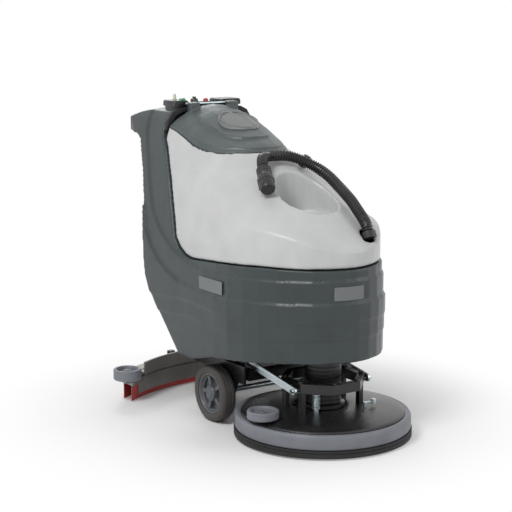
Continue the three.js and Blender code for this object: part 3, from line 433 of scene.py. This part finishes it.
adjuster = dict(steps=32, at=(-76, -392, 0), bevel=0.5,
                profile=[(0, 100), (9, 100), (9, 112), (13.5, 113), (13.5, 115), (6, 116), (6, 158), (13.5, 158),
                         (13.5, 161), (8, 162), (8, 172), (6, 174), (0, 174)])
coil = dict(first=116, last=156, pitch=5, inner=11.5, outer=14, thick=2.6)
deckRoller = dict(r=52, low=96, high=124, at=(-248, -338, 0), bevel=0.8)
rollerSteps = 72
bristles = dict(inner=142, outer=246, low=0.2, high=42.4, columns=180, setBack=0.992)
armBolt = dict(x=154.2, y=-371, z=179, size=8)


def rollerProfile(r, z0, z1):
    return [(7.6, z0 + 6), (r - 12, z0 + 6), (r - 10, z0), (r - 3, z0), (r, z0 + 3), (r, z1 - 3), (r - 3, z1),
            (r - 10, z1), (r - 14, z1 - 5), (r - 15, z1 - 14), (16, z1 - 14), (14, z1 - 12), (14, z1 - 5),
            (7.6, z1 - 5)]


spunPiece("deck_cover", **deckCover)
spunPiece("deck_bumper", **deckBumper)
spunPiece("deck_skirt", **deckSkirt)
bolts = [hexBolt((x, deckAt[1] + y, bracket["boltZ"]), size=bracket["boltSize"]) for x, y in bracket["bolts"]]
refined("motor_bracket", bracket["bevel"], *bolts)
for z in range(126, 284, 14):  # cooling ribs
    brushMotor["profile"] += [(61, z), (59, z + 1), (59, z + 4), (61, z + 5)]
brushMotor["profile"] += [(61, 292), (53, 300), (0, 300)]
spunPiece("brush_motor", **brushMotor)
coils = []
for z in range(coil["first"], coil["last"], coil["pitch"]):
    r0, r1, top = coil["inner"], coil["outer"], z + coil["thick"]
    coils.append(spun([(r0, z), (r1, z), (r1, top), (r0, top)], adjuster["steps"], adjuster["at"]))
spunPiece("deck_adjuster", extras=coils, **adjuster)
refined("brush_release_latch", 1.2)
spunPiece("deck_roller", rollerProfile(deckRoller["r"], deckRoller["low"], deckRoller["high"]), rollerSteps,
          deckRoller["at"], deckRoller["bevel"])
refined("deck_roller_pin", 0.6)
refined("brush_block", 0.8)
r0, r1, z0, z1 = (bristles[key] for key in ("inner", "outer", "low", "high"))
tufts = spun([(r0, z0), (r1, z0), (r1, z1), (r0, z1)], bristles["columns"], deckAt)
for vert in tufts.verts:  # every other column of bristles stands back
    around = round(math.atan2(vert.co.y - deckAt[1], vert.co.x) / (2 * math.pi) * bristles["columns"])
    if around % 2:
        vert.co.x *= bristles["setBack"]
        vert.co.y = deckAt[1] + (vert.co.y - deckAt[1]) * bristles["setBack"]
publish("brush_bristles_made", tufts, "brush_bristles", 0)
refined("brush_drive_shaft", 0.5)
for name, sign in (("right", -1), ("left", 1)):
    at = (sign * armBolt["x"], armBolt["y"], armBolt["z"])
    refined("deck_arm_" + name, 1.0, hexBolt(at, (sign, 0, 0), armBolt["size"]))
print("deck made")

# lid fittings
badgeRing = dict(inner=70, outer=73, high=2, steps=96, squeeze=66 / 76, badgeThick=0.008, bevel=0.5)
vacuumMotor = dict(steps=64, at=(0, 200, 0), bevel=0.6,
                   profile=[(0, 846), (58, 846), (62, 850), (62, 922), (58, 927), (40, 932), (32, 936), (30, 940),
                            (30, 964), (0, 964)])
refined("lid_badge", 0.8)
r0, r1, top = badgeRing["inner"], badgeRing["outer"], badgeRing["high"]
ring = spun([(r0, 0), (r1, 0), (r1, top), (r0, top)], badgeRing["steps"])
ring = turned(ring, Matrix.Scale(badgeRing["squeeze"], 4, (0, 1, 0)))
badgeLow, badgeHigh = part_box("lid_badge")
slope = math.atan2((badgeHigh.z - badgeLow.z - badgeRing["badgeThick"]), badgeHigh.y - badgeLow.y)
badgeMid = (badgeLow + badgeHigh) / 2
lift = Matrix.Translation((0, badgeMid.y * 1000 + axleBack, badgeMid.z * 1000 + 2)) @ Matrix.Rotation(slope, 4, "X")
publish("lid_badge_ring", turned(ring, lift), "lid_badge", badgeRing["bevel"], stands=False)
refined("lid_hinge_pin", 0.4)
spunPiece("vacuum_motor", **vacuumMotor)

# console, controls, seal, level tube, plates
endBlocks = dict(near=(-141, -82, 1019), far=(56, 141, 1024))  # left, right, underside
blockShape = dict(front=384, back=462, top=1068, cornerR=20, rimR=4)
startButton = dict(steps=40, at=(-96, 402, 0), bevel=0.6,
                   profile=[(0, 1059), (12, 1059), (12, 1070), (10, 1074), (6, 1076), (0, 1076.5)])
stopButton = dict(steps=40, at=(12, 418, 0), bevel=0.6,
                  profile=[(0, 1055), (9, 1055), (9, 1065), (7, 1069), (4, 1070.6), (0, 1071)])
keySwitch = dict(steps=40, at=(-34, 422, 0), bevel=0.8,
                 profile=[(0, 1055.4), (14, 1055.4), (14, 1066), (11, 1071), (0, 1072)])
keyGrip = (-36, -32, 412, 432, 1071, 1078)  # x, y and z, low and high
flowKnob = dict(steps=32, at=(-112, 430, 0), bevel=0.5,
                profile=[(0, 1057), (8.5, 1057), (8.5, 1072), (6, 1073), (6, 1087), (4.5, 1089.5), (0, 1090)])
levelTube = dict(steps=32, at=(-236, 396, 0), bevel=0.4, profile=[(0, 498), (7, 498), (7, 628), (0, 628)])


def endBlock(x0, x1, z0):
    bm = block(x0, x1, blockShape["front"], blockShape["back"], z0, blockShape["top"])
    rounding = dict(affect="EDGES", profile=0.5, material=-1)
    uprights = [e for e in bm.edges if abs(e.verts[0].co.z - e.verts[1].co.z) > 1]
    bmesh.ops.bevel(bm, geom=uprights, offset=blockShape["cornerR"], segments=6, **rounding)
    rims = [e for e in bm.edges if abs(e.verts[0].co.z - e.verts[1].co.z) < 0.1 and len(e.link_faces) == 2
            and abs(e.link_faces[0].normal.z - e.link_faces[1].normal.z) > 0.5]
    bmesh.ops.bevel(bm, geom=rims, offset=blockShape["rimR"], segments=3, **rounding)
    return bm


refined("control_console", 1.6, *[endBlock(*size) for size in endBlocks.values()])
spunPiece("start_button", **startButton)
spunPiece("stop_button", **stopButton)
spunPiece("key_switch", extras=[block(*keyGrip)], **keySwitch)
spunPiece("flow_knob", **flowKnob)
refined("column_seal", 1.2)
spunPiece("level_tube", **levelTube)
refined("level_tube_clip", 1.2)
refined("level_tube_elbow", 1.0)
for node in ("side_plate_right", "side_plate_left", "front_plate"):
    refined(node, 0.8)
print("controls made")

# squeegee
frontStrip = dict(inner=614.3, outer=616.9, low=20, high=57, reach=30, centre=-157.1)  # reach in degrees either side
rearStrip = dict(inner=669.5, outer=672, low=26, high=57, reach=30, centre=-157.1)
knob = dict(steps=32, bevel=0.8, profile=[(0, 104.6), (5, 104.6), (5, 118), (12, 118), (12, 132), (9, 134), (0, 134)])
lobe = dict(count=6, out=12, r=4.5, low=118, high=132, sides=16)
squeegeeRoller = dict(r=50, low=84, high=122, x=356, y=368, bevel=0.8)


def clampStrip(inner, outer, low, high, reach, centre):
    bm = bmesh.new()
    corners = [bm.verts.new((0, r, z)) for r, z in ((inner, low), (outer, low), (outer, high), (inner, high))]
    face = bm.faces.new(corners)
    swing = dict(cent=(0, 0, 0))
    bmesh.ops.rotate(bm, matrix=Matrix.Rotation(math.radians(reach), 3, "Z"), verts=bm.verts, **swing)
    bmesh.ops.spin(bm, geom=[face, *face.edges, *corners], axis=(0, 0, 1), angle=math.radians(-2 * reach), steps=48,
                   **swing)
    bmesh.ops.remove_doubles(bm, verts=bm.verts, dist=0.001)
    bmesh.ops.recalc_face_normals(bm, faces=bm.faces)
    bmesh.ops.translate(bm, vec=(0, centre, 0), verts=bm.verts)
    return bm


refined("squeegee_body", 1.2, clampStrip(**frontStrip), clampStrip(**rearStrip))
refined("squeegee_swivel", 1.0, hexBolt((0, 405, 178), size=9))
refined("squeegee_arm", 1.2)
for node in ("squeegee_blade_front", "squeegee_blade_rear"):
    refined(node, 0.5)
for name, sign in (("right", -1), ("left", 1)):
    low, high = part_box("clamp_knob_" + name)
    x, y = (low.x + high.x) * 500, (low.y + high.y) * 500 + axleBack
    lobes = []
    for i in range(lobe["count"]):
        a = i * math.pi / 3
        lobeX, lobeY = x + lobe["out"] * math.cos(a), y + lobe["out"] * math.sin(a)
        lobes.append(bar((lobeX, lobeY, lobe["low"]), (lobeX, lobeY, lobe["high"]), lobe["r"], lobe["sides"]))
    spunPiece("clamp_knob_" + name, at=(x, y, 0), extras=lobes, **knob)
    rollerAt = (sign * squeegeeRoller["x"], squeegeeRoller["y"], 0)
    spunPiece("squeegee_roller_" + name,
              rollerProfile(squeegeeRoller["r"], squeegeeRoller["low"], squeegeeRoller["high"]), rollerSteps,
              rollerAt, squeegeeRoller["bevel"])
refined("suction_cuff", 0.8)

# levers, frame, batteries
fillerCaps = dict(rows=(-140, -80, -20, 40, 100), low=500, high=503, r=14, sides=28)
for node in ("squeegee_lever", "deck_pedal", "drive_bail", "wheel_axle"):
    refined(node, 0.8)
refined("chassis_frame", 1.2)
for name in ("right", "left"):
    low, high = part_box("battery_" + name)
    x = (low.x + high.x) * 500
    caps = [bar((x, y, fillerCaps["low"]), (x, y, fillerCaps["high"]), fillerCaps["r"], fillerCaps["sides"])
            for y in fillerCaps["rows"]]
    refined("battery_" + name, 2.5, *caps)
print("squeegee, frame and batteries made")

# floor, lights
ground = dict(size=12, colour=(0.97, 0.97, 0.97, 1), rough=0.8, fadeFrom=0.35, fadeTo=1.05)
surround = dict(onMachine=0.42, inView=1.0)
floorMesh = bpy.data.meshes.new("floor")
floorBm = bmesh.new()
bmesh.ops.create_grid(floorBm, x_segments=1, y_segments=1, size=ground["size"])
floorBm.to_mesh(floorMesh)
floorBm.free()
floor = bpy.data.objects.new("floor", floorMesh)
bpy.context.scene.collection.objects.link(floor)
floorMaterial = bpy.data.materials.new("paleFloor")
floorMaterial.use_nodes = True
nodes, links = floorMaterial.node_tree.nodes, floorMaterial.node_tree.links
nodes["Principled BSDF"].inputs["Base Color"].default_value = ground["colour"]
nodes["Principled BSDF"].inputs["Roughness"].default_value = ground["rough"]
coords = nodes.new("ShaderNodeTexCoord")
reach = nodes.new("ShaderNodeVectorMath")
reach.operation = "LENGTH"
fade = nodes.new("ShaderNodeMapRange")
fade.interpolation_type = "SMOOTHSTEP"
fade.inputs["From Min"].default_value = ground["fadeFrom"]
fade.inputs["From Max"].default_value = ground["fadeTo"]
glow = nodes.new("ShaderNodeEmission")
blend = nodes.new("ShaderNodeMixShader")
links.new(coords.outputs["Object"], reach.inputs[0])
links.new(reach.outputs["Value"], fade.inputs["Value"])
gate = nodes.new("ShaderNodeMath")
gate.operation = "MULTIPLY"
links.new(fade.outputs["Result"], gate.inputs[0])
links.new(sightRays(nodes, links), gate.inputs[1])
links.new(gate.outputs["Value"], blend.inputs["Fac"])
links.new(nodes["Principled BSDF"].outputs["BSDF"], blend.inputs[1])
links.new(glow.outputs["Emission"], blend.inputs[2])
links.new(blend.outputs["Shader"], nodes["Material Output"].inputs["Surface"])
floorMesh.materials.append(floorMaterial)

world = bpy.data.worlds.new("studio")
bpy.context.scene.world = world
world.use_nodes = True
nodes, links = world.node_tree.nodes, world.node_tree.links
strength = nodes.new("ShaderNodeMapRange")
strength.inputs["To Min"].default_value = surround["onMachine"]
strength.inputs["To Max"].default_value = surround["inView"]
links.new(sightRays(nodes, links), strength.inputs["Value"])
links.new(strength.outputs["Result"], nodes["Background"].inputs["Strength"])
nodes["Background"].inputs["Color"].default_value = (1, 1, 1, 1)

lamps = {"key": ((-3.0, -1.2, 3.8), 100, 1.3), "fill": ((3.0, -3.4, 2.4), 26, 2.0), "rim": ((1.2, 3.4, 3.0), 36, 1.6)}
for name, (spot, power, size) in lamps.items():
    lamp = bpy.data.lights.new(name, "AREA")
    lamp.energy, lamp.size = power, size
    holder = bpy.data.objects.new(name, lamp)
    bpy.context.scene.collection.objects.link(holder)
    holder.location = spot
    holder.rotation_euler = (Vector((0, 0, 0.5)) - Vector(spot)).to_track_quat("-Z", "Y").to_euler()
bpy.context.scene.view_settings.view_transform = "Standard"

print("studio set")
